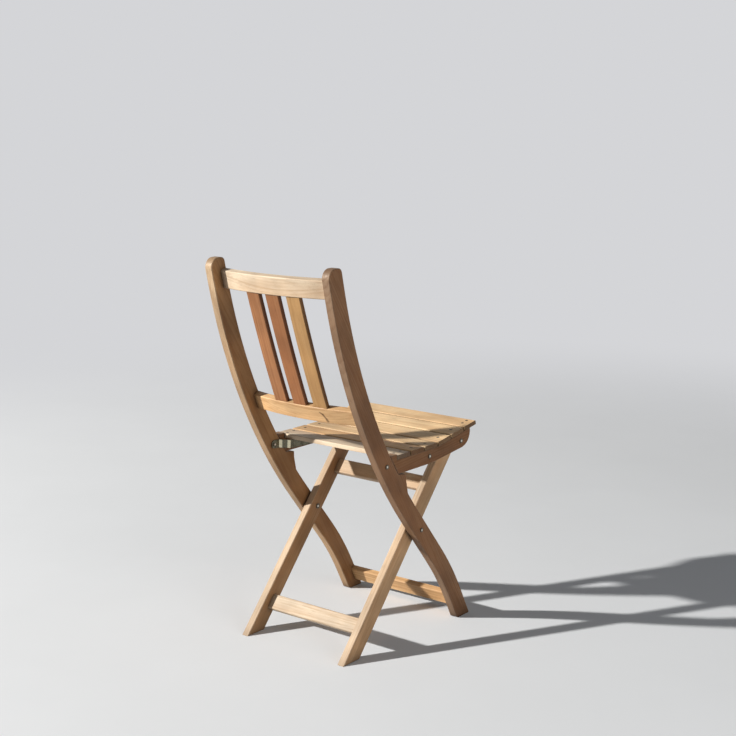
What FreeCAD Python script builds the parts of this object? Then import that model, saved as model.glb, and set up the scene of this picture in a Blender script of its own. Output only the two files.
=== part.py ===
"""Folding garden chair in acacia: curved uprights, crossed legs, slatted seat and steel link straps.

Millimetres. +Z up, -Y to the front, +X to the sitter's left. The origin is on the floor, in the middle
of the chair's box. Every side piece is drawn in the Y-Z plane for the left side and mirrored to the right.
"""
import FreeCAD, Part
import os
from math import asin, atan2, cos, degrees, hypot, pi, radians, sin, sqrt, tan

Vec = FreeCAD.Vector

# Overall
overall_height = 880.0
overall_width = 353.0
edge_chamfer = 1.6
fit_clearance = 0.15
pivot_clearance = 0.05
rub_clearance = 0.2

# Uprights: a straight top, a long bend, a straight run through the cross pivot, a short bend, a foot
upright_thickness = 21.0
upright_width = 44.0
top_angle = 12.6
top_straight = 55.0
cross_angle = 39.3
cross_straight = 157.0
foot_bend_radius = 670.0
foot_angle = 27.9
top_front_round = 12.0
top_rear_round = 21.0
foot_bevel = 3.5
seat_over_bend = 153.2

# Ledge on the upright's front edge that carries the seat rail
ledge_reach = 29.5
ledge_fall_angle = 10.0
ledge_height = 56.0
ledge_corner_round = 2.5
ledge_belly_round = 30.0

# Legs
leg_thickness = 19.0
leg_width = 42.0
leg_pivot_from_front = 18.0
leg_angle = 40.6
leg_gap = 3.0
leg_fold_clearance = 0.45
leg_end_beyond = 10.0
leg_end_front_round = 9.0
leg_end_rear_round = 32.0

# Pivots
cross_pivot_drop = 51.5
strap_pivot_rise = 165.5
strap_pivot_ahead = 120.0
strap_pivot_height = 18.0
bolt_diameter = 6.0
bolt_head_diameter = 10.0
bolt_head_height = 2.0
washer_diameter = 16.0
nut_diameter = 12.0
nut_height = 1.6
rivet_head_diameter = 9.0
rivet_head_height = 1.5

# Seat
seat_height = 448.0
seat_ramp_angle = 9.3
slat_thickness = 10.0
slat_width = 46.5
slat_gap = 5.4
flat_slats = 3
ramp_slats = 3
slat_round = 2.5
rail_thickness = 21.0
rail_rear_depth = 34.0
rail_upright_gap = 0.6
rail_ledge_gap = 0.3
rail_heel_length = 24.0
rail_heel_step = 12.0
heel_gap = 0.5
rail_belly_length = 132.0
rail_belly_angle = 6.3
rail_belly_round = 300.0
rail_front_from_slat = 21.5
rail_front_round = 36.0
rail_corner_round = 3.0

# Back rails and slats
back_rail_thickness = 17.5
back_rail_recess = 0.3
back_bow = 22.0
crest_rail_height = 41.4
crest_rail_drop = 50.6
lower_rail_height = 37.4
lower_rail_rise = 291.0
lower_rail_angle = 22.0
back_slat_count = 3
back_slat_width = 38.0
back_slat_thickness = 10.5
back_slat_recess = 2.0
back_slat_bow = 3.5
back_slat_turn_angle = 2.3
back_slat_pitch = 57.0
back_slat_tenon_thickness = 6.0
back_slat_tenon_shoulder = 4.0
back_slat_tenon_length = 9.0
back_slat_shoulder_trim = 3.0

# Stretchers and their tenons
stretcher_thickness = 15.0
front_stretcher_height = 38.0
front_stretcher_rise = 35.4
front_stretcher_recess = 0.5
leg_stretcher_height = 35.5
rear_stretcher_rise = 80.7
rear_stretcher_recess = 8.0
upper_stretcher_rise = 114.0
upper_stretcher_recess = 4.0
tenon_length = 12.0
tenon_thickness = 8.0
tenon_shoulder = 6.0

# Link straps
strap_width = 19.0
strap_thickness = 2.5
strap_eye_run = 16.0
strap_step_depth = 11.2
strap_step_run = 5.0
strap_step_flat = 3.5
strap_bend_round = 3.5

half_width = overall_width / 2
upright_inner = half_width - upright_thickness
leg_outer = upright_inner - leg_gap
leg_inner = leg_outer - leg_thickness
rail_inner = half_width - rail_thickness


# Plane geometry in (y, z)
def along(point, lean, distance):
    """Point reached by going up a line that leans back by the given angle."""
    return (point[0] + distance * sin(radians(lean)), point[1] + distance * cos(radians(lean)))


def aside(point, lean, distance):
    """Point reached by going square to such a line, positive to the rear."""
    return (point[0] + distance * cos(radians(lean)), point[1] - distance * sin(radians(lean)))


def at_height(point, lean, height):
    """Point of the leaning line at the given height."""
    return (point[0] + (height - point[1]) * tan(radians(lean)), height)


def unit(a, b):
    length = hypot(b[0] - a[0], b[1] - a[1])
    return ((b[0] - a[0]) / length, (b[1] - a[1]) / length)


def rounded_face(points, radii):
    """Closed outline in the Y-Z plane with each corner rounded by its own radius."""
    count = len(points)
    starts, ends, middles = [], [], []
    for i in range(count):
        here = points[i]
        back = unit(here, points[i - 1])
        ahead = unit(here, points[(i + 1) % count])
        if radii[i] == 0:
            starts.append(here)
            ends.append(here)
            middles.append(None)
            continue
        turn = atan2(back[0] * ahead[1] - back[1] * ahead[0], back[0] * ahead[0] + back[1] * ahead[1])
        half = (pi - abs(turn)) / 2
        tangent = radii[i] * tan(half)
        starts.append((here[0] + back[0] * tangent, here[1] + back[1] * tangent))
        ends.append((here[0] + ahead[0] * tangent, here[1] + ahead[1] * tangent))
        inward = (back[0] + ahead[0], back[1] + ahead[1])
        size = hypot(*inward)
        reach = radii[i] * (1 / cos(half) - 1)
        middles.append((here[0] + inward[0] / size * reach, here[1] + inward[1] / size * reach))
    edges = []
    for i in range(count):
        if middles[i]:
            edges.append(Part.Arc(flat(starts[i]), flat(middles[i]), flat(ends[i])).toShape())
        edges.append(Part.makeLine(flat(ends[i]), flat(starts[(i + 1) % count])))
    return Part.Face(Part.Wire(edges))


def flat(point, x=0.0):
    return Vec(x, point[0], point[1])


# Solids
def side_plate(face, x_from, x_to):
    """The outline as a plate between two X planes, with both its rims chamfered."""
    face = face.translated(Vec(x_from, 0, 0))
    plate = face.extrude(Vec(x_to - x_from, 0, 0))
    rims = [e for e in plate.Edges if e.BoundBox.XLength < 1e-6]
    return plate.makeChamfer(edge_chamfer, rims)


def pin(centre, radius, x_from, x_to):
    return Part.makeCylinder(radius, x_to - x_from, flat(centre, x_from), Vec(1, 0, 0))


def leaning_section(centre, lean, thickness, height):
    """Rectangle in the Y-Z plane: thickness to the rear side, height up the lean."""
    corners = []
    for t, h in ((-1, -1), (1, -1), (1, 1), (-1, 1)):
        edge = along(centre, lean, h * height / 2)
        corners.append(aside(edge, lean, t * thickness / 2))
    return rounded_face(corners, [0] * 4)


def chamfered_section(centre, lean, thickness, height):
    """The same rectangle with its four corners cut off."""
    t, h = thickness / 2, height / 2
    t_in, h_in = t - edge_chamfer, h - edge_chamfer
    places = ((-t_in, -h), (t_in, -h), (t, -h_in), (t, h_in), (t_in, h), (-t_in, h), (-t, h_in), (-t, -h_in))
    corners = [aside(along(centre, lean, up), lean, back) for back, up in places]
    return rounded_face(corners, [0] * len(corners))


def bar_between(section, x_from, x_to):
    """Straight bar along X with the given section."""
    return section.translated(Vec(x_from, 0, 0)).extrude(Vec(x_to - x_from, 0, 0))


def mirrored(shape):
    return shape.mirror(Vec(0, 0, 0), Vec(1, 0, 0))


def long_edges(shape):
    """The edges along a piece's length, without those of its end faces."""
    longest = max(e.Length for e in shape.Edges)
    return [e for e in shape.Edges if e.Length > longest / 2]


# Where the upright runs: the long bend starts below the seat and takes up the height under the straight top
bend_end = (0.0, seat_height - seat_over_bend)
bend_rise = overall_height - top_straight * cos(radians(top_angle)) - bend_end[1]
back_bend_radius = bend_rise / (sin(radians(cross_angle)) - sin(radians(top_angle)))
back_tangent = back_bend_radius * tan(radians(cross_angle - top_angle) / 2)
foot_tangent = foot_bend_radius * tan(radians(cross_angle - foot_angle) / 2)
back_corner = along(bend_end, cross_angle, back_tangent)
foot_corner = along(bend_end, cross_angle, -(cross_straight + foot_tangent))
upright_top = along(back_corner, top_angle, back_tangent + top_straight)
upright_foot = at_height(foot_corner, foot_angle, 0.0)
bend_centre = aside(bend_end, cross_angle, -back_bend_radius)


def on_bend(run):
    """Centre line point and lean on the long bend, measured up from its lower end."""
    lean = cross_angle - degrees(run / back_bend_radius)
    return aside(bend_centre, lean, back_bend_radius), lean


def front_edge(height):
    """Y of the upright's front edge on the long bend at a height."""
    radius = back_bend_radius - upright_width / 2
    return bend_centre[0] + sqrt(radius ** 2 - (height - bend_centre[1]) ** 2)


# Pivots in side view
cross_pivot = along(bend_end, cross_angle, -cross_pivot_drop)
strap_pivot = on_bend(strap_pivot_rise)[0]
leg_foot = at_height(cross_pivot, -leg_angle, 0.0)

# Seat levels
under_slats = seat_height - slat_thickness
rail_bottom = under_slats - rail_rear_depth
heel_top = under_slats + rail_heel_step
rail_rear = front_edge(rail_bottom) - rail_upright_gap
slat_start = front_edge(heel_top) - rail_upright_gap - rail_heel_length
strap_seat_pivot = (slat_start - strap_pivot_ahead, rail_bottom + strap_pivot_height)
slat_pitch = slat_width + slat_gap
ramp_start = slat_start - heel_gap - flat_slats * slat_pitch + slat_gap / 2
ramp_cos = cos(radians(seat_ramp_angle))
seat_front_run = ramp_slats * slat_pitch - slat_gap / 2
seat_front = ramp_start - seat_front_run * ramp_cos
under_corner = ramp_start - slat_thickness * tan(radians(seat_ramp_angle) / 2)


def under_ramp(y):
    """Height of the ramp slats' underside."""
    return under_slats + (under_corner - y) * tan(radians(seat_ramp_angle))


# The seat pivot is so deep under the ramp that the folded leg lies clear below the slats
seat_pivot_depth = leg_pivot_from_front + leg_fold_clearance
room_over_pivot = under_ramp(cross_pivot[0]) - seat_pivot_depth / ramp_cos - cross_pivot[1]
leg_rise_rate = cos(radians(leg_angle)) - sin(radians(leg_angle)) * tan(radians(seat_ramp_angle))
leg_top_length = room_over_pivot / leg_rise_rate
seat_pivot = along(cross_pivot, -leg_angle, leg_top_length)


# Mortise and tenon places: (centre, lean, height) of each cross piece's section at the side members
def recessed(point, lean, front, recess, thickness):
    """Section centre of a cross piece set back from the front edge that lies so far before the point."""
    return aside(point, lean, recess + thickness / 2 - front)


upright_half = upright_width / 2
crest_point = along(upright_top, top_angle, -crest_rail_drop)
lower_point, lower_lean = on_bend(lower_rail_rise)
foot_point = along(upright_foot, foot_angle, front_stretcher_rise)
rear_point = along(leg_foot, -leg_angle, rear_stretcher_rise)
upper_point = along(cross_pivot, -leg_angle, upper_stretcher_rise)
crest_centre = recessed(crest_point, top_angle, upright_half, back_rail_recess, back_rail_thickness)
lower_centre = recessed(lower_point, lower_lean, upright_half, back_rail_recess, back_rail_thickness)
front_centre = recessed(foot_point, foot_angle, upright_half, front_stretcher_recess, stretcher_thickness)
leg_front = leg_pivot_from_front
rear_centre = recessed(rear_point, -leg_angle, leg_front, rear_stretcher_recess, stretcher_thickness)
upper_centre = recessed(upper_point, -leg_angle, leg_front, upper_stretcher_recess, stretcher_thickness)

upright_joints = (
    (crest_centre, top_angle, crest_rail_height),
    (lower_centre, lower_rail_angle, lower_rail_height),
    (front_centre, foot_angle, front_stretcher_height),
)
leg_joints = (
    (rear_centre, -leg_angle, leg_stretcher_height),
    (upper_centre, -leg_angle, leg_stretcher_height),
)


def tenon(joint, member_inner):
    """Stub tenon at the left end of a cross piece, rooted as deep in the piece as it stands out."""
    centre, lean, height = joint
    x_from = member_inner - tenon_length
    x_to = member_inner + tenon_length
    section = leaning_section(centre, lean, tenon_thickness, height - 2 * tenon_shoulder)
    return bar_between(section, x_from, x_to)


def mortise(joint, member_inner):
    """Hole for that tenon in the side member, with clearance all round."""
    centre, lean, height = joint
    wide = tenon_thickness + 2 * fit_clearance
    tall = height - 2 * tenon_shoulder + 2 * fit_clearance
    depth = tenon_length + fit_clearance
    return bar_between(leaning_section(centre, lean, wide, tall), member_inner - depth, member_inner + depth)


def make_upright():
    half = upright_half
    bend_half = radians(cross_angle - top_angle) / 2
    foot_half = radians(cross_angle - foot_angle) / 2
    front, rear = [], []
    for side, row in ((-half, front), (half, rear)):
        corner = at_height(aside(upright_foot, foot_angle, side), foot_angle, 0.0)
        row.append((corner[0] - foot_bevel * side / half, 0.0))
        row.append(along(corner, foot_angle, foot_bevel))
        row.append(aside(foot_corner, (cross_angle + foot_angle) / 2, side / cos(foot_half)))
        row.append(aside(back_corner, (cross_angle + top_angle) / 2, side / cos(bend_half)))
        row.append(at_height(aside(upright_top, top_angle, side), top_angle, overall_height))
    front_radii = [0, 0, foot_bend_radius + half, back_bend_radius - half, top_front_round]
    rear_radii = [0, 0, foot_bend_radius - half, back_bend_radius + half, top_rear_round]
    outline = rounded_face(front + rear[::-1], front_radii + rear_radii[::-1])

    ledge_top = rail_bottom - rail_ledge_gap
    edge_y = front_edge(ledge_top)
    ledge_front = edge_y - ledge_reach
    ledge_front_top = ledge_top - ledge_reach * tan(radians(ledge_fall_angle))
    toe = ledge_top - ledge_height
    ledge = rounded_face(
        [
            (edge_y + half / 2, ledge_top + half / 2 * tan(radians(ledge_fall_angle))),
            (edge_y + half / 2, toe),
            (front_edge(toe) + ledge_corner_round, toe),
            (ledge_front, ledge_front_top - ledge_height / 4),
            (ledge_front, ledge_front_top),
        ],
        [0, 0, 0, ledge_belly_round, ledge_corner_round],
    )
    body = side_plate(outline.fuse(ledge).removeSplitter().Faces[0], upright_inner, half_width)
    for joint in upright_joints:
        body = body.cut(mortise(joint, upright_inner))
    for point in (cross_pivot, strap_pivot):
        body = body.cut(pin(point, bolt_diameter / 2 + pivot_clearance, upright_inner, half_width))
    return body


def make_leg():
    front = -leg_front
    rear = leg_width - leg_front
    tip = along(seat_pivot, -leg_angle, leg_end_beyond)
    outline = rounded_face(
        [
            at_height(aside(leg_foot, -leg_angle, front), -leg_angle, 0.0),
            at_height(aside(leg_foot, -leg_angle, rear), -leg_angle, 0.0),
            aside(tip, -leg_angle, rear),
            aside(tip, -leg_angle, front),
        ],
        [0, 0, leg_end_rear_round, leg_end_front_round],
    )
    body = side_plate(outline, leg_inner, leg_outer)
    for joint in leg_joints:
        body = body.cut(mortise(joint, leg_inner))
    for point in (cross_pivot, seat_pivot):
        body = body.cut(pin(point, bolt_diameter / 2 + pivot_clearance, leg_inner, leg_outer))
    return body


def make_straight_stretcher(joint, member_inner):
    centre, lean, height = joint
    section = chamfered_section(centre, lean, stretcher_thickness, height)
    bar = bar_between(section, -member_inner, member_inner)
    left = tenon(joint, member_inner)
    return bar.fuse([left, mirrored(left)]).removeSplitter()


bow_radius = (upright_inner ** 2 + back_bow ** 2) / (2 * back_bow)


def back_offset(x):
    """How far the bowed back rails stand behind their ends at x."""
    return back_bow - (bow_radius - sqrt(bow_radius ** 2 - x ** 2))


def make_back_rail_blank(joint):
    """Bowed rail: its leaning section turned about an upright axis in front of the back."""
    centre, lean, height = joint
    middle = (centre[0] + back_bow, centre[1])
    section = chamfered_section(middle, lean, back_rail_thickness, height)
    axis = Vec(0, middle[0] - bow_radius, 0)
    reach = degrees(asin(upright_inner / (bow_radius - height)))
    section.rotate(axis, Vec(0, 0, 1), -reach)
    sweep = section.revolve(axis, Vec(0, 0, 1), 2 * reach)
    room = 4 * bow_radius
    between = Part.makeBox(2 * upright_inner, room, room, Vec(-upright_inner, -room / 2, -room / 2))
    return sweep.common(between)


def curved_board(middle, lean, radius, thickness, length, x_from, x_to):
    """Board along X whose section is a strip of a ring, bulging to the rear in its middle."""
    centre = aside(middle, lean, -radius)
    half_turn = length / 2 / radius

    def on_ring(r, turn):
        return flat(along(aside(centre, lean, r * cos(turn)), lean, r * sin(turn)))

    front = radius - thickness / 2
    rear = radius + thickness / 2
    edges = [
        Part.Arc(on_ring(front, -half_turn), on_ring(front, 0), on_ring(front, half_turn)).toShape(),
        Part.makeLine(on_ring(front, half_turn), on_ring(rear, half_turn)),
        Part.Arc(on_ring(rear, half_turn), on_ring(rear, 0), on_ring(rear, -half_turn)).toShape(),
        Part.makeLine(on_ring(rear, -half_turn), on_ring(front, -half_turn)),
    ]
    face = Part.Face(Part.Wire(edges)).translated(Vec(x_from, 0, 0))
    return face.extrude(Vec(x_to - x_from, 0, 0))


def make_back_slat(place, crest_blank, lower_blank):
    """Gently curved slat with a stub tenon at each end; its shoulders meet the two rails."""
    x = place * back_slat_pitch
    top = (crest_centre[0] + back_offset(x), crest_centre[1])
    bottom = (lower_centre[0] + back_offset(x), lower_centre[1])
    lean = degrees(atan2(top[0] - bottom[0], top[1] - bottom[1]))
    span = hypot(top[0] - bottom[0], top[1] - bottom[1])
    middle = along(bottom, lean, span / 2 + (lower_rail_height - crest_rail_height) / 4)
    rearwards = (back_rail_thickness - back_slat_thickness) / 2 - back_slat_recess
    middle = aside(middle, lean, rearwards + back_slat_bow)
    radius = (span ** 2 / 4 + back_slat_bow ** 2) / (2 * back_slat_bow)
    clear = span - (crest_rail_height + lower_rail_height) / 2
    half = back_slat_width / 2
    rough = clear + 2 * back_slat_shoulder_trim
    body = curved_board(middle, lean, radius, back_slat_thickness, rough, x - half, x + half)
    body = body.makeChamfer(edge_chamfer, long_edges(body))
    core = half - back_slat_tenon_shoulder
    length = clear + 2 * back_slat_tenon_length
    tongue = curved_board(middle, lean, radius, back_slat_tenon_thickness, length, x - core, x + core)
    wide = core + fit_clearance
    thick = back_slat_tenon_thickness + 2 * fit_clearance
    socket = curved_board(middle, lean, radius, thick, length + 2 * fit_clearance, x - wide, x + wide)
    axis = flat(along((0, 0), lean, 1.0))
    for piece in (body, tongue, socket):
        piece.rotate(flat(middle, x), axis, -place * back_slat_turn_angle)
    body = body.cut([crest_blank, lower_blank])
    return body.fuse(tongue).removeSplitter(), socket


def make_back():
    """Crest rail, lower rail and the slats between them."""
    joints = (upright_joints[0], upright_joints[1])
    blanks = [make_back_rail_blank(joint) for joint in joints]
    slats, sockets = [], []
    for i in range(back_slat_count):
        slat, socket = make_back_slat(i - (back_slat_count - 1) / 2, *blanks)
        slats.append(slat)
        sockets.append(socket)
    rails = []
    for joint, blank in zip(joints, blanks):
        left = tenon(joint, upright_inner)
        rails.append(blank.cut(sockets).fuse([left, mirrored(left)]).removeSplitter())
    return rails, slats


def make_seat_rail():
    belly = slat_start - rail_belly_length
    front = seat_front + rail_front_from_slat
    outline = rounded_face(
        [
            (rail_rear, rail_bottom),
            (front_edge(heel_top) - rail_upright_gap, heel_top),
            (slat_start, heel_top),
            (slat_start, under_slats),
            (under_corner, under_slats),
            (front, under_ramp(front)),
            (front, rail_bottom + (belly - front) * tan(radians(rail_belly_angle))),
            (belly, rail_bottom),
        ],
        [0, 0, 0, 0, 0, rail_corner_round, rail_front_round, rail_belly_round],
    )
    body = side_plate(outline, rail_inner, half_width)
    for point in (strap_seat_pivot, seat_pivot):
        body = body.cut(pin(point, bolt_diameter / 2 + pivot_clearance, rail_inner, half_width))
    return body


def seat_slat_places():
    """(centre of the slat's top, tilt of the slat) from rear to front."""
    places = []
    for i in range(flat_slats):
        places.append(((slat_start - heel_gap - slat_width / 2 - i * slat_pitch, seat_height), 0.0))
    for i in range(ramp_slats):
        run = slat_gap / 2 + slat_width / 2 + i * slat_pitch
        top = seat_height + run * sin(radians(seat_ramp_angle))
        places.append(((ramp_start - run * ramp_cos, top), seat_ramp_angle))
    return places


def make_seat_slat(place, tilt):
    """Board across the seat with its two long top edges rounded."""
    corner = Vec(-half_width, -slat_width / 2, -slat_thickness)
    board = Part.makeBox(overall_width, slat_width, slat_thickness, corner)
    top_edges = [e for e in long_edges(board) if abs(e.BoundBox.ZMax) < 1e-6]
    board = board.makeFillet(slat_round, top_edges)
    board.rotate(Vec(), Vec(1, 0, 0), -tilt)
    board.translate(flat(place))
    return board


def make_strap():
    """Flat steel link between upright and seat rail, cranked inwards twice to pass the folded leg."""
    length = hypot(strap_pivot[0] - strap_seat_pivot[0], strap_pivot[1] - strap_seat_pivot[1])
    eye = strap_width / 2
    outer = -(strap_thickness + rub_clearance)
    bends = [(-strap_width, outer), (strap_eye_run, outer)]
    u, x = strap_eye_run, outer
    for step in range(2):
        u += strap_step_run
        x -= strap_step_depth
        bends.append((u, x))
        if step == 0:
            u += strap_step_flat
            bends.append((u, x))
    bends += [(length - a, b) for a, b in bends[::-1]]
    near = offset_line(bends, 0.0)
    far = offset_line(bends, strap_thickness)
    inner_radii = [0] + [strap_bend_round] * (len(bends) - 2) + [0]
    strip = rounded_face(near + far[::-1], inner_radii + inner_radii[::-1])
    strip = strip.extrude(Vec(strap_width, 0, 0)).translated(Vec(-eye, 0, 0))
    ends = [Part.makeCylinder(eye, 2 * length, Vec(0, u, -length)) for u in (0, length)]
    middle = Part.makeBox(strap_width, length, 2 * length, Vec(-eye, 0, -length))
    strip = strip.common(middle.fuse(ends))
    hole = bolt_diameter / 2 + pivot_clearance
    for u in (0, length):
        strip = strip.cut(Part.makeCylinder(hole, 2 * length, Vec(0, u, -length)))
    return strip


def offset_line(points, distance):
    """The bent line moved square to itself, corners mitred."""
    moved = []
    for i, here in enumerate(points):
        before = unit(points[i - 1], here) if i > 0 else None
        after = unit(here, points[i + 1]) if i < len(points) - 1 else None
        first = before or after
        second = after or before
        normals = [(-d[1], d[0]) for d in (first, second)]
        total = (normals[0][0] + normals[1][0], normals[0][1] + normals[1][1])
        scale = distance / (1 + normals[0][0] * normals[1][0] + normals[0][1] * normals[1][1])
        moved.append((here[0] + total[0] * scale, here[1] + total[1] * scale))
    return moved


def place_strap(strip):
    """Lays the strap from the upright's pivot to the rail's pivot on the inner side."""
    run = Vec(0, strap_seat_pivot[0] - strap_pivot[0], strap_seat_pivot[1] - strap_pivot[1]).normalize()
    out = Vec(1, 0, 0)
    wide = run.cross(out)
    corner = flat(strap_pivot, upright_inner)
    placement = FreeCAD.Placement(corner, FreeCAD.Rotation(wide, run, out, "ZYX"))
    strip.Placement = placement
    return strip


def bolt(centre, x_end):
    """Low round head on the outer face and a shank that ends at x_end."""
    head = pin(centre, bolt_head_diameter / 2, half_width, half_width + bolt_head_height)
    return head.fuse(pin(centre, bolt_diameter / 2, x_end, half_width))


def washer(centre, x_from, x_to):
    ring = pin(centre, washer_diameter / 2, x_from, x_to)
    return ring.cut(pin(centre, bolt_diameter / 2 + pivot_clearance, x_from, x_to))


def make_hardware():
    """Left-hand bolts, washers and nuts by node name."""
    nut_seat = leg_inner - rub_clearance
    strap_inside = upright_inner - 2 * rub_clearance - strap_thickness
    spacer_end = leg_outer + rub_clearance / 2
    pieces = {}
    pieces["cross_pivot_bolts"] = bolt(cross_pivot, nut_seat)
    pieces["cross_pivot_washers"] = washer(cross_pivot, spacer_end, upright_inner)
    pieces["cross_pivot_nuts"] = pin(cross_pivot, nut_diameter / 2, nut_seat - nut_height, nut_seat)
    for name, point in (("strap_upright_bolts", strap_pivot), ("strap_seat_bolts", strap_seat_pivot)):
        closed_end = pin(point, rivet_head_diameter / 2, strap_inside - rivet_head_height, strap_inside)
        pieces[name] = bolt(point, strap_inside).fuse(closed_end)
    pieces["seat_pivot_bolts"] = bolt(seat_pivot, rail_inner)
    flange = pin(seat_pivot, nut_diameter / 2, leg_inner - nut_height, leg_inner)
    pieces["leg_pivot_pins"] = flange.fuse(pin(seat_pivot, bolt_diameter / 2, leg_inner, leg_outer))
    pieces["leg_pivot_washers"] = washer(seat_pivot, leg_outer, rail_inner - rub_clearance / 2)
    return pieces


def build():
    """Every piece of the chair by node name."""
    nodes = {}
    sides = {"upright": make_upright(), "leg": make_leg(), "seat_rail": make_seat_rail()}
    sides["link_strap"] = place_strap(make_strap())
    for name, left in sides.items():
        nodes["left_" + name] = left
        nodes["right_" + name] = mirrored(left)
    (nodes["crest_rail"], nodes["lower_back_rail"]), back_slats = make_back()
    for name, slat in zip(("right", "centre", "left"), back_slats):
        nodes["back_slat_" + name] = slat
    nodes["front_stretcher"] = make_straight_stretcher(upright_joints[2], upright_inner)
    nodes["rear_stretcher"] = make_straight_stretcher(leg_joints[0], leg_inner)
    nodes["upper_leg_stretcher"] = make_straight_stretcher(leg_joints[1], leg_inner)
    for i, (place, tilt) in enumerate(seat_slat_places()):
        nodes[f"seat_slat_{i + 1}"] = make_seat_slat(place, tilt)
    for name, piece in make_hardware().items():
        nodes[name] = Part.makeCompound([piece, mirrored(piece)])
    return nodes


nodes = build()
box = Part.makeCompound(list(nodes.values())).optimalBoundingBox(True, False)
middle_y = (box.YMin + box.YMax) / 2
os.makedirs("parts", exist_ok=True)
for name, shape in nodes.items():
    shape.translate(Vec(0, -middle_y, 0))
    shape.exportStep(f"parts/{name}.step")

pivots = {"cross": cross_pivot, "seat": seat_pivot, "strap": strap_pivot, "strap_seat": strap_seat_pivot}
for name, point in pivots.items():
    print(f"{name} pivot y {point[0] - middle_y:.3f} z {point[1]:.3f}")
print(f"box x {box.XLength:.2f} y {box.YLength:.2f} z {box.ZMin:.3f} to {box.ZMax:.2f}")
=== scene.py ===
from math import cos, pi, radians, sin

import bpy
from mathutils import Euler, Matrix, Vector
from mathutils.geometry import tessellate_polygon


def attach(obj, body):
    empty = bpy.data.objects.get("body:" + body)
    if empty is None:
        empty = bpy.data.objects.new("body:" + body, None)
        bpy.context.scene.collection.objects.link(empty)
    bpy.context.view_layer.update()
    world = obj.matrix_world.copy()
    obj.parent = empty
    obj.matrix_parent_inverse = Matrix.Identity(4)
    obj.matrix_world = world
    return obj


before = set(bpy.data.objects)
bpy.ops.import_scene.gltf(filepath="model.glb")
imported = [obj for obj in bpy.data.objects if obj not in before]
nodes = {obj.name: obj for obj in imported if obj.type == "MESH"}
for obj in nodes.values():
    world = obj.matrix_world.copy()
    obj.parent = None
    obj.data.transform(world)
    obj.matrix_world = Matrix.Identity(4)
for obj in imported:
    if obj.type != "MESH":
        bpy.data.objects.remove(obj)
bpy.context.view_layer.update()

# Most of a noise's range, and the samples and ranges that find edges and crevices
NOISE_RANGE = (0.3, 0.7)
EDGE_SAMPLES = 6
EDGE_RANGE = (0.985, 0.90)
CREVICE_SAMPLES = 4
CREVICE_RANGE = (0.86, 0.42)


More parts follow.
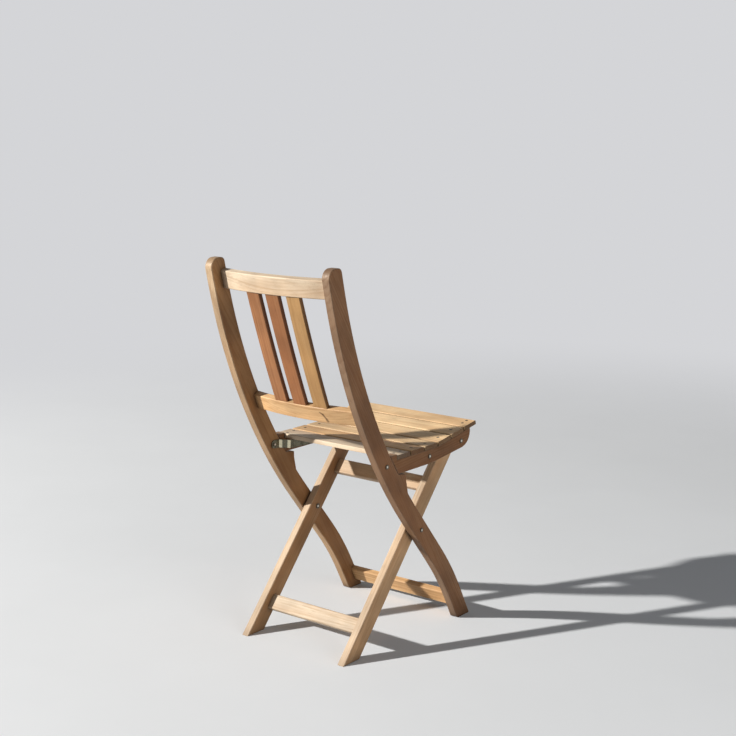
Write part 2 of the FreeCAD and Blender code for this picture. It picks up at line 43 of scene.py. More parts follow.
class Graph:
    """A material's node tree with short ways to add and join nodes."""

    def __init__(self, name):
        self.material = bpy.data.materials.new(name)
        self.material.use_nodes = True
        self.tree = self.material.node_tree
        self.shader = self.tree.nodes["Principled BSDF"]

    def add(self, kind, **values):
        node = self.tree.nodes.new(kind)
        for key, value in values.items():
            setattr(node, key, value)
        return node

    def join(self, source, target):
        self.tree.links.new(source, target)

    def feed(self, socket, value):
        """Joins a socket, or sets a number or a colour."""
        if isinstance(value, (int, float)):
            socket.default_value = value
        elif isinstance(value, tuple):
            socket.default_value = value if len(socket.default_value) == len(value) else (*value, 1.0)
        else:
            self.join(value, socket)

    def mapping(self, vector, location=(0, 0, 0), rotation=(0, 0, 0), scale=(1, 1, 1)):
        node = self.add("ShaderNodeMapping")
        node.inputs["Location"].default_value = location
        node.inputs["Rotation"].default_value = rotation
        node.inputs["Scale"].default_value = scale
        self.join(vector, node.inputs["Vector"])
        return node.outputs["Vector"]

    def noise(self, vector, scale, detail=3.0, roughness=0.55, distortion=0.0):
        node = self.add("ShaderNodeTexNoise")
        node.inputs["Scale"].default_value = scale
        node.inputs["Detail"].default_value = detail
        node.inputs["Roughness"].default_value = roughness
        node.inputs["Distortion"].default_value = distortion
        self.join(vector, node.inputs["Vector"])
        return node.outputs["Fac"]

    def ramp(self, value, low, high, start=0.0, end=1.0):
        """The value moved from (low, high) to (start, end), held at both ends."""
        node = self.add("ShaderNodeMapRange", interpolation_type="SMOOTHSTEP")
        node.inputs["From Min"].default_value = low
        node.inputs["From Max"].default_value = high
        node.inputs["To Min"].default_value = start
        node.inputs["To Max"].default_value = end
        self.join(value, node.inputs["Value"])
        return node.outputs["Result"]

    def math(self, operation, a, b=0.0):
        node = self.add("ShaderNodeMath", operation=operation)
        self.feed(node.inputs[0], a)
        self.feed(node.inputs[1], b)
        return node.outputs[0]

    def vector(self, operation, a, b=(0.0, 0.0, 0.0)):
        node = self.add("ShaderNodeVectorMath", operation=operation)
        self.feed(node.inputs[0], a)
        self.feed(node.inputs[1], b)
        return node.outputs

    def length(self, vector):
        return self.vector("LENGTH", vector)["Value"]

    def parts(self, vector):
        node = self.add("ShaderNodeSeparateXYZ")
        self.join(vector, node.inputs[0])
        return node.outputs

    def across(self, vector):
        """The vector's part along X, without its sign."""
        return self.math("ABSOLUTE", self.parts(vector)["X"])

    def mix(self, factor, a, b, blend="MIX"):
        """Colour mix; a and b are colours or sockets."""
        node = self.add("ShaderNodeMix", data_type="RGBA", blend_type=blend)
        self.feed(node.inputs[0], factor)
        self.feed(node.inputs[6], a)
        self.feed(node.inputs[7], b)
        return node.outputs[2]

    def dim(self, colour, value):
        """The colour times a number."""
        grey = self.add("ShaderNodeCombineColor")
        for i in range(3):
            self.join(value, grey.inputs[i])
        return self.mix(1.0, colour, grey.outputs[0], "MULTIPLY")

    def soft_edges(self, radius):
        """Normal rounded over near edges, and a mask that is 1 on the edges."""
        bevel = self.add("ShaderNodeBevel", samples=EDGE_SAMPLES)
        bevel.inputs["Radius"].default_value = radius
        face = self.add("ShaderNodeNewGeometry")
        turn = self.vector("DOT_PRODUCT", bevel.outputs["Normal"], face.outputs["True Normal"])["Value"]
        return bevel.outputs["Normal"], self.ramp(turn, *EDGE_RANGE)

    def crevice(self, reach):
        """1 deep in corners and narrow gaps, 0 on open faces; it masks the wood's painted shade."""
        node = self.add("ShaderNodeAmbientOcclusion", samples=CREVICE_SAMPLES)
        node.inputs["Distance"].default_value = reach
        return self.ramp(node.outputs["AO"], *CREVICE_RANGE)

    def bump(self, height, strength, distance, normal):
        node = self.add("ShaderNodeBump")
        node.inputs["Strength"].default_value = strength
        node.inputs["Distance"].default_value = distance
        self.join(height, node.inputs["Height"])
        self.join(normal, node.inputs["Normal"])
        self.join(node.outputs["Normal"], self.shader.inputs["Normal"])

    def metal(self, colour, roughness):
        """Sets the shader to bare metal of this colour and roughness."""
        self.join(colour, self.shader.inputs["Base Color"])
        self.join(roughness, self.shader.inputs["Roughness"])
        self.shader.inputs["Metallic"].default_value = 1.0


def scaled(colour, factor):
    return tuple(c * factor for c in colour)


def tinted(colour, tint):
    return tuple(a * b for a, b in zip(colour, tint))


def paler(colour, amount):
    return tuple(c + (1.0 - c) * amount for c in colour)


def middle_of(shape):
    """Middle of a piece's box in its own coordinates."""
    points = [v.co for v in shape.data.vertices]
    return Vector([(min(p[i] for p in points) + max(p[i] for p in points)) / 2 for i in range(3)])


# Wood: lean of each grain direction back from upright, in degrees; None is grain along X
UPRIGHT_GRAIN = 30.0
LEG_GRAIN = -40.6
BACK_GRAIN = 19.5
RAIL_GRAIN = -86.0

# The boards' woods, each by its light tone
CREAM = (0.62, 0.51, 0.38)
HONEY = (0.83, 0.61, 0.36)
AMBER = (0.76, 0.49, 0.25)
TAN = (0.51, 0.37, 0.235)
OCHRE = (0.47, 0.295, 0.13)
RUSSET = (0.37, 0.17, 0.072)
UMBER = (0.26, 0.17, 0.107)

# Shares of a light tone in its late wood and in its red streaks
LATE_WOOD = (0.58, 0.46, 0.36)
RED_STREAK = (0.84, 0.68, 0.55)

# Painted shade: tints that darken and warm the broad faces across X, as faces in shade look
BROWN_FLANK_SHADE = (0.75, 0.56, 0.38)
WARM_FLANK_SHADE = (1.12, 0.90, 0.69)
SLAT_FLANK_SHADE = (0.55, 0.48, 0.42)
END_FLANK_SHADE = (0.40, 0.34, 0.30)

# Each wooden piece: its wood, how light that board is, the lean of its grain and the painted shade tint of
# its flanks
WOODS = {
    "left_upright": (TAN, 1.0, UPRIGHT_GRAIN, BROWN_FLANK_SHADE),
    "right_upright": (UMBER, 1.0, UPRIGHT_GRAIN, WARM_FLANK_SHADE),
    "left_leg": (CREAM, 0.95, LEG_GRAIN, BROWN_FLANK_SHADE),
    "right_leg": (CREAM, 0.97, LEG_GRAIN, WARM_FLANK_SHADE),
    "crest_rail": (CREAM, 1.28, None, None),
    "lower_back_rail": (AMBER, 0.93, None, None),
    "back_slat_left": (RUSSET, 1.06, BACK_GRAIN, SLAT_FLANK_SHADE),
    "back_slat_centre": (RUSSET, 0.95, BACK_GRAIN, SLAT_FLANK_SHADE),
    "back_slat_right": (OCHRE, 1.0, BACK_GRAIN, SLAT_FLANK_SHADE),
    "front_stretcher": (AMBER, 1.06, None, None),
    "rear_stretcher": (CREAM, 1.03, None, None),
    "upper_leg_stretcher": (CREAM, 1.02, None, None),
    "left_seat_rail": (UMBER, 1.3, RAIL_GRAIN, BROWN_FLANK_SHADE),
    "right_seat_rail": (UMBER, 1.3, RAIL_GRAIN, BROWN_FLANK_SHADE),
    "seat_slat_1": (CREAM, 1.15, None, END_FLANK_SHADE),
    "seat_slat_2": (AMBER, 1.02, None, END_FLANK_SHADE),
    "seat_slat_3": (HONEY, 1.02, None, END_FLANK_SHADE),
    "seat_slat_4": (HONEY, 1.03, None, END_FLANK_SHADE),
    "seat_slat_5": (HONEY, 1.04, None, END_FLANK_SHADE),
    "seat_slat_6": (HONEY, 0.93, None, END_FLANK_SHADE),
}

# Long dark knots in the wood, each by its two ends and its radius; three of them make one bent knot
KNOTS = {
    "lower_back_rail": (
        ((-0.0530, 0.1548, 0.5485), (-0.0600, 0.1532, 0.5440), 0.0028),
        ((-0.0600, 0.1532, 0.5440), (-0.0670, 0.1492, 0.5325), 0.0036),
        ((-0.0670, 0.1492, 0.5325), (-0.0692, 0.1478, 0.5285), 0.0056),
    ),
}

# Scales of the noises in the wood, and the share to which the grain draws them out
GRAIN_STRETCH = 0.06
GRAIN_SHIFT = (1.7, 2.3, 3.1)
BOARD_SCALE = 12.0
BAND_SCALE = 42.0
LINE_SCALE = 190.0
FIBRE_SCALE = 640.0
PORE_SCALE = 1900.0
BLOTCH_SCALE = 7.0
RUB_SCALE = 55.0

# Growth rings to a metre, with more of them in some boards, and the noises that bend them
RINGS = 150.0
RINGS_STEP = 12.0
BOARD_SWAY = 3.2
LINE_SWAY = 0.5

# Late wood: its rise and end within a year, its shares in weak and strong years, and each board's years
LATE_RISE = (0.30, 0.93)
LATE_END = (1.0, 0.95)
YEAR_SHARES = (0.12, 1.0)
YEARS_APART = 37.0

# The rings' pith: its distance from the piece's middle, its turn from board to board and its slant
PITH_AWAY = 0.055
PITH_TURN = 2.4
PITH_TILT = 0.02
PITH_SWAY = 0.03

# Where in its noise each mark of the wood sets in
BAND_RANGE = (0.34, 0.66)
LINE_RANGE = (0.52, 0.70)
RED_RANGE = (0.44, 0.66)
FIBRE_RANGE = (0.60, 0.74)
PORE_RANGE = (0.58, 0.72)
RUB_RANGE = (0.42, 0.62)

# How far a face has to turn to the grain or to X to count as an end or as a flank with painted shade
END_RANGE = (0.72, 0.92)
FLANK_SHADE_RANGE = (0.55, 0.9)

# Share of each mark in the board's colour
BAND_SHARE = 0.5
LATE_SHARE = 0.55
LINE_SHARE = 0.34
RED_SHARE = 0.5
FIBRE_SHARE = 0.34
PORE_SHARE = 0.18
END_SHARE = 0.5
KNOT_SHARE = 0.85
RUB_SHARES = (0.05, 0.40)
CREVICE_SHADE_SHARE = 0.75
SOIL_SHARE = 0.35

# Tone of each mark as a share of the dark wood
FIBRE_TONE = 0.45
PORE_TONE = 0.6
END_TONE = 0.66
KNOT_TONE = 0.3
CREVICE_SHADE_TONE = 0.3
SOIL_TONE = 0.4

# How much paler rubbed edges are, and the darkest and lightest blotches as shares of the colour
RUB_PALE = 0.06
BLOTCH_TONES = (0.80, 1.15)

# A knot's full core and its uneven rim, as shares of its radius
KNOT_CORE = 0.3
KNOT_WOBBLE = 1.2

# Wear of the wood and the reach of its painted shade in crevices, in metres, its finish and its relief
WOOD_EDGE = 0.0011
CREVICE_REACH = 0.016
SOIL_HEIGHT = 0.035
WOOD_ROUGHNESS = (0.46, 0.64)
WOOD_GLOSS = 0.30
WOOD_RELIEF = 0.0004
WOOD_BUMP = 0.28
LINE_RELIEF = 0.6
LATE_RELIEF = 0.25


def grain_noises(g, turned, seed):
    """Noises drawn out along the grain, from the whole board to single pores, and round blotches."""
    shift = scaled(GRAIN_SHIFT, seed)
    grain = g.mapping(turned, location=shift, scale=(1.0, 1.0, GRAIN_STRETCH))
    return {
        "board": g.noise(grain, BOARD_SCALE, detail=2.0),
        "band": g.noise(grain, BAND_SCALE, detail=4.0, roughness=0.6, distortion=0.5),
        "line": g.noise(grain, LINE_SCALE, detail=3.0, roughness=0.6),
        "fibre": g.noise(grain, FIBRE_SCALE, detail=2.0),
        "pore": g.noise(grain, PORE_SCALE, detail=1.0),
        "blotch": g.noise(turned, BLOTCH_SCALE + seed % 3, detail=2.0),
    }


def late_wood(g, turned, centre, seed, noises):
    """Late wood of growth rings about a pith outside the piece, stronger in some years than in others."""
    angle = seed * PITH_TURN
    pith = (-centre.x - PITH_AWAY * cos(angle), -centre.y - PITH_AWAY * sin(angle), 0.0)
    slant = (PITH_TILT, PITH_SWAY * cos(seed), 0.0)
    about = g.vector("MULTIPLY", g.mapping(turned, location=pith, rotation=slant), (1.0, 1.0, 0.0))["Vector"]
    phase = g.math("MULTIPLY", g.length(about), RINGS + RINGS_STEP * (seed % 4))
    phase = g.math("ADD", phase, g.math("MULTIPLY", noises["board"], BOARD_SWAY))
    phase = g.math("ADD", phase, g.math("MULTIPLY", noises["line"], LINE_SWAY))
    year = g.add("ShaderNodeTexWhiteNoise", noise_dimensions="1D")
    g.join(g.math("ADD", g.math("FLOOR", phase), seed * YEARS_APART), year.inputs["W"])
    ring = g.math("FRACT", phase)
    late = g.math("MULTIPLY", g.ramp(ring, *LATE_RISE), g.ramp(ring, *LATE_END))
    return g.math("MULTIPLY", late, g.ramp(year.outputs["Value"], 0.0, 1.0, *YEAR_SHARES))


def board_colour(g, light, dark, noises, late):
    """Light wood with bands, dark late wood, fine lines, red streaks, fibres, pores and blotches."""
    colour = g.mix(g.ramp(noises["band"], *BAND_RANGE), g.mix(BAND_SHARE, dark, light), light)
    colour = g.mix(g.math("MULTIPLY", late, LATE_SHARE), colour, dark)
    colour = g.mix(g.ramp(noises["line"], *LINE_RANGE, end=LINE_SHARE), colour, dark)
    colour = g.mix(g.ramp(noises["board"], *RED_RANGE, end=RED_SHARE), colour, tinted(light, RED_STREAK))
    colour = g.mix(g.ramp(noises["fibre"], *FIBRE_RANGE, end=FIBRE_SHARE), colour, scaled(dark, FIBRE_TONE))
    colour = g.mix(g.ramp(noises["pore"], *PORE_RANGE, end=PORE_SHARE), colour, scaled(dark, PORE_TONE))
    return g.dim(colour, g.ramp(noises["blotch"], *NOISE_RANGE, *BLOTCH_TONES))


def face_tints(g, colour, facing, dark, lean, flank_shade):
    """Darker end grain, and the flank's painted shade tint on the broad faces across X."""
    axis = (1.0, 0.0, 0.0) if lean is None else (0.0, sin(radians(lean)), cos(radians(lean)))
    along = g.math("ABSOLUTE", g.vector("DOT_PRODUCT", facing, axis)["Value"])
    end_grain = g.mix(END_SHARE, colour, scaled(dark, END_TONE))
    colour = g.mix(g.ramp(along, *END_RANGE), colour, end_grain)
    if flank_shade is None:
        return colour
    return g.mix(g.ramp(g.across(facing), *FLANK_SHADE_RANGE), colour, g.mix(1.0, colour, flank_shade, "MULTIPLY"))


def knotted(g, colour, place, dark, band, knots):
    """Long dark knots with an uneven rim, by the distance to the line between their ends."""
    for start, end, size in knots:
        way = Vector(end) - Vector(start)
        away = g.vector("SUBTRACT", place, start)["Vector"]
        share = g.vector("DOT_PRODUCT", away, tuple(way / way.length_squared))["Value"]
        share = g.math("MINIMUM", g.math("MAXIMUM", share, 0.0), 1.0)
        nearest = g.vector("MULTIPLY", tuple(way), share)["Vector"]
        gap = g.length(g.vector("SUBTRACT", away, nearest)["Vector"])
        wobble = g.math("MULTIPLY", g.math("SUBTRACT", band, 0.5), size * KNOT_WOBBLE)
        knot = g.ramp(g.math("ADD", gap, wobble), size * KNOT_CORE, size, KNOT_SHARE, 0.0)
        colour = g.mix(knot, colour, scaled(dark, KNOT_TONE))
    return colour


def worn_and_shaded_wood(g, colour, place, light, dark, edge):
    """Paler rubbed edges, painted shade darkening corners and gaps, and soiled feet."""
    rub = g.noise(place, RUB_SCALE, detail=4.0, roughness=0.7)
    wear_and_glint = g.math("MULTIPLY", edge, g.ramp(rub, *RUB_RANGE, *RUB_SHARES))
    colour = g.mix(wear_and_glint, colour, paler(light, RUB_PALE))
    # Painted shade: corners, joints and narrow gaps darkened where little light gets in
    crevice_shade = g.math("MULTIPLY", g.crevice(CREVICE_REACH), CREVICE_SHADE_SHARE)
    colour = g.mix(crevice_shade, colour, scaled(dark, CREVICE_SHADE_TONE))
    soil = g.ramp(g.parts(place)["Z"], 0.0, SOIL_HEIGHT, SOIL_SHARE, 0.0)
    return g.mix(soil, colour, scaled(dark, SOIL_TONE))


def wood(shape, light, lean, seed, flank_shade, knots):
    """Oiled hardwood for one piece; the seed sets its rings and noises apart from the other boards."""
    dark = tinted(light, LATE_WOOD)
    g = Graph("wood " + shape.name)
    coords = g.add("ShaderNodeTexCoord")
    place = coords.outputs["Object"]
    turn = (0.0, -pi / 2, 0.0) if lean is None else (radians(lean), 0.0, 0.0)
    turned = g.mapping(place, rotation=turn)
    centre = Euler(turn).to_matrix() @ middle_of(shape)
    noises = grain_noises(g, turned, seed)
    late = late_wood(g, turned, centre, seed, noises)
    normal, edge = g.soft_edges(WOOD_EDGE)
    colour = board_colour(g, light, dark, noises, late)
    colour = face_tints(g, colour, coords.outputs["Normal"], dark, lean, flank_shade)
    colour = knotted(g, colour, place, dark, noises["band"], knots)
    colour = worn_and_shaded_wood(g, colour, place, light, dark, edge)
    g.join(colour, g.shader.inputs["Base Color"])
    g.join(g.ramp(noises["line"], *NOISE_RANGE, *WOOD_ROUGHNESS), g.shader.inputs["Roughness"])
    g.shader.inputs["Specular IOR Level"].default_value = WOOD_GLOSS
    relief = g.math("ADD", noises["fibre"], g.math("MULTIPLY", noises["line"], LINE_RELIEF))
    relief = g.math("SUBTRACT", relief, g.math("MULTIPLY", late, LATE_RELIEF))
    g.bump(relief, WOOD_BUMP, WOOD_RELIEF, normal)
    return g.material


# Steel tones
ZINC_PLATE = (0.26, 0.25, 0.18)
# Painted highlight on the strap's steps, also the tone of its rubbed edges
ZINC_HIGHLIGHT_AND_WEAR = (0.66, 0.60, 0.42)
ZINC_CUT = (0.10, 0.085, 0.055)
# Painted highlight in the middle of each bolt head, also the tone of its rubbed edges
BOLT_HIGHLIGHT_AND_WEAR = (0.86, 0.80, 0.68)
# The bolts' own dark steel; round a head's bright middle it also paints the shade of a recessed rim
BOLT_DARK = (0.17, 0.145, 0.11)
SCREW_LIGHT = (0.075, 0.058, 0.044)
SCREW_DARK = (0.045, 0.034, 0.025)
SCREW_STAIN = (0.06, 0.025, 0.012)
# Painted shade in the countersinks round the screws and in their cross recesses
GAP_SHADE_LIGHT = (0.035, 0.025, 0.018)
GAP_SHADE_DARK = (0.02, 0.014, 0.010)

# Shared by the steels: brushed grain, patches and stains, the edges' radius and the relief
BRUSH_SCALE = 900.0
PATCH_RANGE = (0.35, 0.65)
STAIN_SCALE = 260.0
STAIN_RANGE = (0.54, 0.70)
STEEL_EDGE = 0.0005
STEEL_RELIEF = 0.0002
STEEL_BUMP = 0.12

# Screws, and the painted shade of the gaps round them
SCREW_PATCHES = 90.0
SCREW_STAINED = 0.6
SCREW_EDGE_SHARE = 0.5
SCREW_EDGE_PALE = 0.25
SCREW_ROUGHNESS = 0.42
GAP_ROUGHNESS = 0.7
ROUGH_BELOW = 0.08
ROUGH_ABOVE = 0.12

# Straps: the fold between a strap's two steps, across X, and how far from it the steps carry painted shade
# and painted highlight
STRAP_FOLD = 0.1416
STEP_SHADED = 0.0035
STEP_HIGHLIT = 0.0060
STEP_SHADE_TONE = 0.5
STRAP_BRUSHED = (1, 0.08, 1)
STRAP_PATCHES = 120.0
STRAP_PATCH_TONE = 0.6
STRAP_STAINED = 0.5
STRAP_STAIN_TONE = 1.3
STRAP_RUB_RANGE = (0.45, 0.6)
STRAP_RUB_SHARE = 0.35
STRAP_ROUGHNESS = (0.24, 0.42)

# How far a strap's face has to turn from X to count as a step with painted highlight and shade, or as a cut
# edge
BEND_RANGE = (0.97, 0.90)
CUT_RANGE = (0.30, 0.10)

# Bolts: the painted highlight in the middle of a head with its uneven rim, the turned rings and the relief
BOLT_CORE = 0.0029
CORE_START = 0.8
CORE_WOBBLE = 0.3
CORE_RELIEF = 0.5
CAP_RANGE = (0.7, 0.9)
BOLT_PATCHES = 240.0
BOLT_PATCH_TONE = 0.75
BOLT_EDGE = 0.0006
BOLT_EDGE_SHARE = 0.3
BOLT_EDGE_TONE = 0.6
BOLT_ROUGHNESS = (0.28, 0.44)
BOLT_RINGS = 9000.0
RING_RELIEF = 0.05
BOLT_RELIEF = 0.0003
BOLT_BUMP = 0.35


def steel(name, light, dark, roughness, stain=None):
    """Steel with a fine grain, dull patches, bright rubbed edges and, where given, stains."""
    g = Graph(name)
    place = g.add("ShaderNodeTexCoord").outputs["Object"]
    brushed = g.noise(place, BRUSH_SCALE, detail=2.0)
    patches = g.noise(place, SCREW_PATCHES)
    colour = g.mix(g.ramp(patches, *PATCH_RANGE), dark, light)
    if stain:
        colour = g.mix(g.ramp(g.noise(place, STAIN_SCALE), *STAIN_RANGE, end=SCREW_STAINED), colour, stain)
    normal, edge = g.soft_edges(STEEL_EDGE)
    colour = g.mix(g.math("MULTIPLY", edge, SCREW_EDGE_SHARE), colour, paler(light, SCREW_EDGE_PALE))
    g.metal(colour, g.ramp(brushed, *NOISE_RANGE, roughness - ROUGH_BELOW, roughness + ROUGH_ABOVE))
    g.bump(brushed, STEEL_BUMP, STEEL_RELIEF, normal)
    return g.material


def strap_steel(name, plate, highlight_and_wear, cut):
    """Plated strap: dull greenish plate, dark cut edges, and steps with a painted highlight away from the
    fold and painted shade next to it.
    """
    g = Graph(name)
    coords = g.add("ShaderNodeTexCoord")
    place = coords.outputs["Object"]
    flat = g.across(coords.outputs["Normal"])
    brushed = g.noise(g.mapping(place, scale=STRAP_BRUSHED), BRUSH_SCALE, detail=2.0)
    patches = g.noise(place, STRAP_PATCHES)
    colour = g.mix(g.ramp(patches, *PATCH_RANGE), scaled(plate, STRAP_PATCH_TONE), plate)
    depth = g.math("ABSOLUTE", g.math("SUBTRACT", g.across(place), STRAP_FOLD))
    # Painted shade next to the fold, painted highlight on the steps further from it
    painted_step = g.mix(g.ramp(depth, STEP_SHADED, STEP_HIGHLIT), scaled(plate, STEP_SHADE_TONE), highlight_and_wear)
    colour = g.mix(g.ramp(flat, *BEND_RANGE), colour, painted_step)
    colour = g.mix(g.ramp(flat, *CUT_RANGE), colour, cut)
    stained = g.ramp(g.noise(place, STAIN_SCALE), *STAIN_RANGE, end=STRAP_STAINED)
    colour = g.mix(stained, colour, scaled(cut, STRAP_STAIN_TONE))
    normal, edge = g.soft_edges(STEEL_EDGE)
    rubbed = g.math("MULTIPLY", edge, g.ramp(patches, *STRAP_RUB_RANGE, end=STRAP_RUB_SHARE))
    colour = g.mix(rubbed, colour, highlight_and_wear)
    g.metal(colour, g.ramp(brushed, *NOISE_RANGE, *STRAP_ROUGHNESS))
    g.bump(brushed, STEEL_BUMP, STEEL_RELIEF, normal)
    return g.material


def turned_steel(shape, light, dark, core):
    """Bolt steel turned about the bolt's own axis: fine rings, a painted highlight in the head's middle and
    dull, dark steel round it that paints the shade of a recessed rim.
    """
    g = Graph("turned " + shape.name)
    coords = g.add("ShaderNodeTexCoord")
    place = coords.outputs["Object"]
    away = g.vector("SUBTRACT", place, tuple(middle_of(shape)))["Vector"]
    reach = g.length(g.vector("MULTIPLY", away, (0.0, 1.0, 1.0))["Vector"])
    cap = g.ramp(g.across(coords.outputs["Normal"]), *CAP_RANGE)
    patches = g.noise(place, BOLT_PATCHES)
    wobble = g.math("MULTIPLY", g.math("SUBTRACT", patches, 0.5), core * CORE_WOBBLE)
    # Painted highlight: a bright spot in the middle of the head's faces across X
    middle = g.ramp(g.math("ADD", reach, wobble), core * CORE_START, core, 1.0, 0.0)
    wear_and_glint = g.math("MULTIPLY", middle, cap)
    colour = g.mix(g.ramp(patches, *PATCH_RANGE), scaled(dark, BOLT_PATCH_TONE), dark)
    colour = g.mix(wear_and_glint, colour, light)
    normal, edge = g.soft_edges(BOLT_EDGE)
    colour = g.mix(g.math("MULTIPLY", edge, BOLT_EDGE_SHARE), colour, scaled(light, BOLT_EDGE_TONE))
    g.metal(colour, g.ramp(patches, *NOISE_RANGE, *BOLT_ROUGHNESS))
    rings = g.math("SINE", g.math("MULTIPLY", reach, BOLT_RINGS))
    relief = g.math("ADD", g.math("MULTIPLY", rings, RING_RELIEF), g.math("MULTIPLY", wear_and_glint, CORE_RELIEF))
    g.bump(relief, BOLT_BUMP, BOLT_RELIEF, normal)
    return g.material


# Edges sharper than this angle stay sharp
SHARP_ANGLE = radians(32)


def dress(shape, finish):
    shape.data.materials.clear()
    shape.data.materials.append(finish)


def dress_woods():
    """A wood of its own on each wooden piece; the table's order sets the seeds."""
    for seed, (node, (tone, level, lean, flank_shade)) in enumerate(WOODS.items(), start=1):
        finish = wood(nodes[node], scaled(tone, level), lean, seed, flank_shade, KNOTS.get(node, ()))
        dress(nodes[node], finish)


def dress_steel():
    """Zinc on the link straps, turned steel on every bolt, nut, washer and pin."""
    zinc = strap_steel("zinc strap", ZINC_PLATE, ZINC_HIGHLIGHT_AND_WEAR, ZINC_CUT)
    for node, shape in nodes.items():
        if node in WOODS:
            continue
        is_strap = "strap" in node and "bolts" not in node
        dress(shape, zinc if is_strap else turned_steel(shape, BOLT_HIGHLIGHT_AND_WEAR, BOLT_DARK, BOLT_CORE))


def smooth_faces():
    for shape in nodes.values():
        shape.data.polygons.foreach_set("use_smooth", [True] * len(shape.data.polygons))
        shape.data.set_sharp_from_angle(angle=SHARP_ANGLE)


# Screws at the ends of the seat slats, over the rails
SEAT_SLATS = 6
SCREW_X = 0.1575
SCREW_RADIUS = 0.0028
SCREW_HIGH = 0.00035
SCREW_SUNK = 0.0006
SCREW_STEPS = 24
SCREW_TURN = 1.9
CROSS_REACH = 0.0017
CROSS_HALF = 0.0005
CROSS_FLOOR = 0.00006
GAP_RADIUS = 0.0035
GAP_HIGH = 0.00002

# A screw head's shoulder and top, as shares of its radius and height
SHOULDER_WIDE = 0.97
SHOULDER_HIGH = 0.5
TOP_WIDE = 0.82
TOP_HIGH = 0.93

# Screws at one end of a slat, from the slat's middle to the rear: two in the outer slats, else one
MIDDLE_SCREWS = (0.0,)
REAR_SCREWS = (-0.0115, 0.0115)
FRONT_SCREWS = (-0.013, 0.0045)

# Material slots of a screw: its head, and the painted shade of its gap and recess
HEAD = 0
GAP = 1


def circle(radius, height):
    angles = [2 * pi * i / SCREW_STEPS for i in range(SCREW_STEPS)]
    return [Vector((radius * cos(angle), radius * sin(angle), height)) for angle in angles]


def cross_outline(height):
    """Corners of the cross recess, anticlockwise from its right arm."""
    c, h = CROSS_REACH, CROSS_HALF
    right = [(c, -h), (c, h), (h, h)]
    top = [(h, c), (-h, c), (-h, h)]
    left = [(-c, h), (-c, -h), (-h, -h)]
    bottom = [(-h, -c), (h, -c), (h, -h)]
    return [Vector((x, y, height)) for x, y in right + top + left + bottom]


def screw_mesh():
    """Closed countersunk head with a cross recess, in a ring of painted shade that reaches into the slat;
    the recess is lined with the same painted shade.
    """
    points, faces, slots = [], [], []

    def loop(ring):
        start = len(points)
        points.extend(ring)
        return list(range(start, start + len(ring)))

    def face(corners, slot):
        faces.append(tuple(corners))
        slots.append(slot)

    def band(a, b, slot):
        for i in range(len(a)):
            j = (i + 1) % len(a)
            face((a[i], a[j], b[j], b[i]), slot)

    bottom = loop(circle(GAP_RADIUS, -SCREW_SUNK))
    ring = loop(circle(GAP_RADIUS, GAP_HIGH))
    foot = loop(circle(SCREW_RADIUS, GAP_HIGH))
    shoulder = loop(circle(SCREW_RADIUS * SHOULDER_WIDE, SCREW_HIGH * SHOULDER_HIGH))
    top = loop(circle(SCREW_RADIUS * TOP_WIDE, SCREW_HIGH * TOP_HIGH))
    face(reversed(bottom), GAP)
    band(bottom, ring, GAP)
    band(ring, foot, GAP)
    band(foot, shoulder, HEAD)
    band(shoulder, top, HEAD)
    rim = loop(cross_outline(SCREW_HIGH))
    floor = loop(cross_outline(CROSS_FLOOR))
    order = top + rim
    for triangle in tessellate_polygon([[points[i] for i in top], [points[i] for i in rim]]):
        face((order[i] for i in triangle), HEAD)
    band(rim, floor, GAP)
    face(floor, GAP)
    mesh = bpy.data.meshes.new("screw head")
    mesh.from_pydata(points, [], faces)
    mesh.materials.append(steel("dark screws", SCREW_LIGHT, SCREW_DARK, SCREW_ROUGHNESS, SCREW_STAIN))
    # Painted shade for the gap round the head and for the cross recess
    mesh.materials.append(steel("painted shade gap", GAP_SHADE_LIGHT, GAP_SHADE_DARK, GAP_ROUGHNESS))
    mesh.polygons.foreach_set("material_index", slots)
    return mesh


def slat_top(shape):
    """Middle of a slat's top face, its up direction and its direction to the rear, from the mesh."""
    points = [shape.matrix_world @ v.co for v in shape.data.vertices]
    normal = max(shape.data.polygons, key=lambda p: p.area * (p.normal.z > 0.5)).normal
    up = (shape.matrix_world.to_3x3() @ normal).normalized()
    top = max(p.dot(up) for p in points)
    back = Vector((0, up.z, -up.y))
    reach = [p.dot(back) for p in points]
    middle = up * top + back * (min(reach) + max(reach)) / 2
    return middle, up, back


def add_screws():
    """Screws over both rails, each turned a little further than the one before."""
    head = screw_mesh()
    count = 0
    for i in range(1, SEAT_SLATS + 1):
        middle, up, back = slat_top(nodes[f"seat_slat_{i}"])
        offsets = {1: REAR_SCREWS, SEAT_SLATS: FRONT_SCREWS}.get(i, MIDDLE_SCREWS)
        for side in (-1, 1):
            for offset in offsets:
                screw = bpy.data.objects.new("screw", head)
                spot = middle + back * offset
                screw.location = (side * SCREW_X, spot.y, spot.z)
                tilt = up.to_track_quat("Z", "Y").to_matrix() @ Matrix.Rotation(SCREW_TURN * count, 3, "Z")
                screw.rotation_euler = tilt.to_euler()
                bpy.context.scene.collection.objects.link(screw)
                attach(screw, "seat")
                count += 1


# Floor that curves up into a backdrop
SWEEP_NEAR = 8.0
SWEEP_FAR = 5.0
SWEEP_ROUND = 3.0
SWEEP_STEPS = 24
SWEEP_HIGH = 9.0
SWEEP_HALF = 30.0
FLOOR = (0.765, 0.795, 0.835)
BACKDROP = (0.66, 0.665, 0.685)
MOTTLE_SCALE = 3.0
MOTTLE_TONE = 0.985

# Shares of the floor's colour in the light that it throws back, and where it turns into the backdrop
FLOOR_BOUNCE = 0.7
BACKDROP_BOUNCE = 0.3
BACKDROP_START = 1.6
BACKDROP_FULL = 4.2

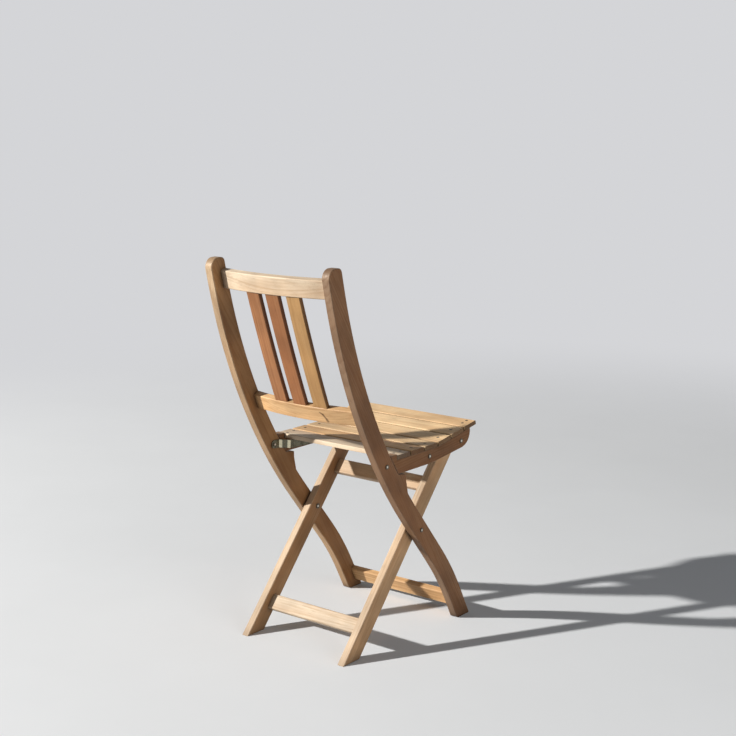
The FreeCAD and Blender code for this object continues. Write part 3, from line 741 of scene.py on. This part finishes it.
# Lamps and the even light from all round
KEY_PLACE = (8.24, 9.64, 6.22)
KEY_TARGET = (0, 0, 0.3)
KEY_SIZE = 0.44
KEY_POWER = 3300
KEY_COLOUR = (1.0, 0.965, 0.91)
FILL_PLACE = (-5.6, 1.2, 1.9)
FILL_TARGET = (0, 0, 0.4)
FILL_SIZE = 4.0
FILL_POWER = 100
FILL_COLOUR = (1.0, 0.98, 0.95)
SKY_COLOUR = (0.93, 0.95, 1.0)
SKY_STRENGTH = 0.09

# Camera at the photograph's viewing angle
CAMERA_PLACE = (-2.0081, 2.44545, 1.2247)
CAMERA_TURN = radians(38.49)
CAMERA_PITCH = radians(10.875)
CAMERA_LENS = 69.32
CAMERA_SENSOR = 36.0


def seen_rays(tree):
    """1 for rays that show the background: from the camera, in gloss and through glass."""
    path = tree.nodes.new("ShaderNodeLightPath")
    total = path.outputs["Is Camera Ray"]
    for name in ("Is Glossy Ray", "Is Transmission Ray"):
        node = tree.nodes.new("ShaderNodeMath")
        node.operation = "MAXIMUM"
        tree.links.new(total, node.inputs[0])
        tree.links.new(path.outputs[name], node.inputs[1])
        total = node.outputs[0]
    return total


def matte(name, colour, backdrop):
    """Plain floor with a faint mottle; away from the chair it is seen in the backdrop's even colour."""
    g = Graph(name)
    place = g.add("ShaderNodeTexCoord").outputs["Object"]
    mottle = g.noise(place, MOTTLE_SCALE)
    tone = g.mix(g.ramp(mottle, *NOISE_RANGE), scaled(colour, MOTTLE_TONE), colour)
    seen = seen_rays(g.tree)
    far = g.ramp(g.length(place), BACKDROP_START, BACKDROP_FULL)
    unseen = g.mix(far, scaled(colour, FLOOR_BOUNCE), scaled(colour, BACKDROP_BOUNCE))
    g.join(g.mix(seen, unseen, tone), g.shader.inputs["Base Color"])
    g.shader.inputs["Roughness"].default_value = 1.0
    g.shader.inputs["Specular IOR Level"].default_value = 0.0
    glow = g.add("ShaderNodeEmission")
    glow.inputs["Color"].default_value = (*backdrop, 1.0)
    blend = g.add("ShaderNodeMixShader")
    g.join(g.math("MULTIPLY", far, seen), blend.inputs[0])
    g.join(g.shader.outputs[0], blend.inputs[1])
    g.join(glow.outputs[0], blend.inputs[2])
    g.join(blend.outputs[0], g.tree.nodes["Material Output"].inputs["Surface"])
    return g.material


def add_sweep():
    """Pale floor that curves up into a backdrop behind the chair, square to the view."""
    profile = [(SWEEP_NEAR, 0.0), (-SWEEP_FAR, 0.0)]
    for i in range(1, SWEEP_STEPS + 1):
        angle = pi / 2 * i / SWEEP_STEPS
        profile.append((-SWEEP_FAR - SWEEP_ROUND * sin(angle), SWEEP_ROUND * (1 - cos(angle))))
    profile.append((-SWEEP_FAR - SWEEP_ROUND, SWEEP_HIGH))
    points = [(x, y, z) for y, z in profile for x in (-SWEEP_HALF, SWEEP_HALF)]
    faces = [(2 * i, 2 * i + 1, 2 * i + 3, 2 * i + 2) for i in range(len(profile) - 1)]
    mesh = bpy.data.meshes.new("floor")
    mesh.from_pydata(points, [], faces)
    mesh.polygons.foreach_set("use_smooth", [True] * len(mesh.polygons))
    mesh.materials.append(matte("pale floor", FLOOR, BACKDROP))
    floor = bpy.data.objects.new("floor", mesh)
    floor.rotation_euler = (0, 0, CAMERA_TURN)
    bpy.context.scene.collection.objects.link(floor)


def add_world():
    """Even light from all round; seen directly it has the backdrop's colour."""
    world = bpy.data.worlds.new("studio")
    bpy.context.scene.world = world
    world.use_nodes = True
    tree = world.node_tree
    light = tree.nodes["Background"]
    light.inputs["Color"].default_value = (*SKY_COLOUR, 1.0)
    light.inputs["Strength"].default_value = SKY_STRENGTH
    shown = tree.nodes.new("ShaderNodeBackground")
    shown.inputs["Color"].default_value = (*BACKDROP, 1.0)
    blend = tree.nodes.new("ShaderNodeMixShader")
    tree.links.new(seen_rays(tree), blend.inputs[0])
    tree.links.new(light.outputs[0], blend.inputs[1])
    tree.links.new(shown.outputs[0], blend.inputs[2])
    tree.links.new(blend.outputs[0], tree.nodes["World Output"].inputs["Surface"])


def area_light(name, place, target, size, power, colour):
    data = bpy.data.lights.new(name, "AREA")
    data.shape = "DISK"
    data.size = size
    data.energy = power
    data.color = colour
    light = bpy.data.objects.new(name, data)
    light.location = place
    light.rotation_euler = (Vector(target) - Vector(place)).to_track_quat("-Z", "Y").to_euler()
    bpy.context.scene.collection.objects.link(light)


def add_camera():
    data = bpy.data.cameras.new("camera")
    data.lens = CAMERA_LENS
    data.sensor_width = CAMERA_SENSOR
    camera = bpy.data.objects.new("camera", data)
    camera.location = CAMERA_PLACE
    camera.rotation_euler = (pi / 2 - CAMERA_PITCH, 0, pi + CAMERA_TURN)
    bpy.context.scene.collection.objects.link(camera)
    bpy.context.scene.camera = camera


dress_woods()
dress_steel()
smooth_faces()
add_screws()
add_sweep()
add_world()
area_light("key", KEY_PLACE, KEY_TARGET, KEY_SIZE, KEY_POWER, KEY_COLOUR)
area_light("fill", FILL_PLACE, FILL_TARGET, FILL_SIZE, FILL_POWER, FILL_COLOUR)
add_camera()
bpy.context.scene.view_settings.view_transform = "Standard"
